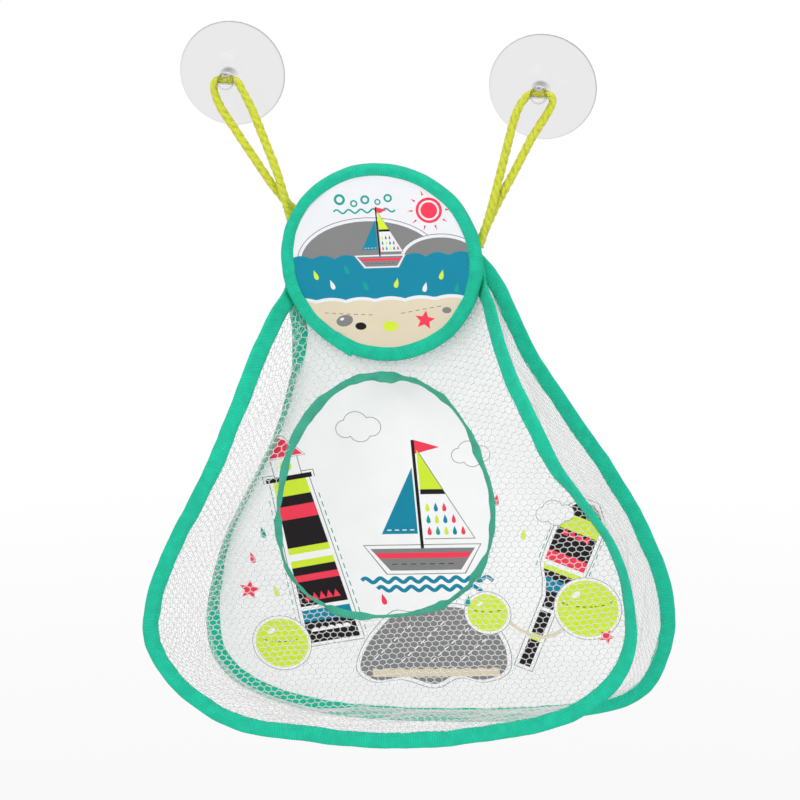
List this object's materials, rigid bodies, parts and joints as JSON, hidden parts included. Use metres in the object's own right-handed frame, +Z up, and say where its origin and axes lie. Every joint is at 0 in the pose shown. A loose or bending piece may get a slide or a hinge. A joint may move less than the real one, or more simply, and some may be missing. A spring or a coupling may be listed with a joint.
{
  "type": "bath toy organizer",
  "caption": "Wall-hung bath toy organizer: mesh pouch with a bound oval opening and a round padded head, hung on looped cords from clear suction cups.",
  "frame": {"origin": "on the wall plane, midway between the centres of the two suction cups", "axes": "+Z up, +X to the right as the front is seen, +Y into the wall; the wall is the plane Y = 0 and the pouch opens towards -Y"},
  "size_m": [0.2952, 0.0964, 0.4226],
  "materials": {
    "clear_cup": "clear, soft and glossy",
    "lime_cord": "braided cord",
    "white_cover": "smooth coated sheet, plain white under a printed pattern",
    "foam": "soft padding",
    "teal_tape": "woven ribbed tape",
    "white_net": "knitted hexagonal net"
  },
  "bodies": {
    "wall_cups": {"left_suction_cup": "clear_cup", "right_suction_cup": "clear_cup"},
    "hanging_cords": {"left_cord": "lime_cord", "right_cord": "lime_cord"},
    "bag": {"left_cord_stub": "lime_cord", "right_cord_stub": "lime_cord", "head_front_cover": "white_cover", "head_foam_core": "foam", "head_backing": "white_cover", "head_binding": "teal_tape", "back_panel": "white_cover", "back_binding": "teal_tape", "gusset_net": "white_net", "front_net": "white_net", "front_binding": "teal_tape", "mouth_binding": "teal_tape"}
  },
  "joints": [
    {"name": "cord_swing", "type": "hinge", "parent": "wall_cups", "child": "hanging_cords", "pos_m": [0, -0.015, 0], "axis": [-1, 0, 0], "range_deg": [0, 60]},
    {"name": "bag_tilt", "type": "hinge", "parent": "hanging_cords", "child": "bag", "pos_m": [0.0016, -0.01003, -0.08137], "axis": [-0.9964, -0.0025, 0.0845], "range_deg": [0, 20]}
  ]
}
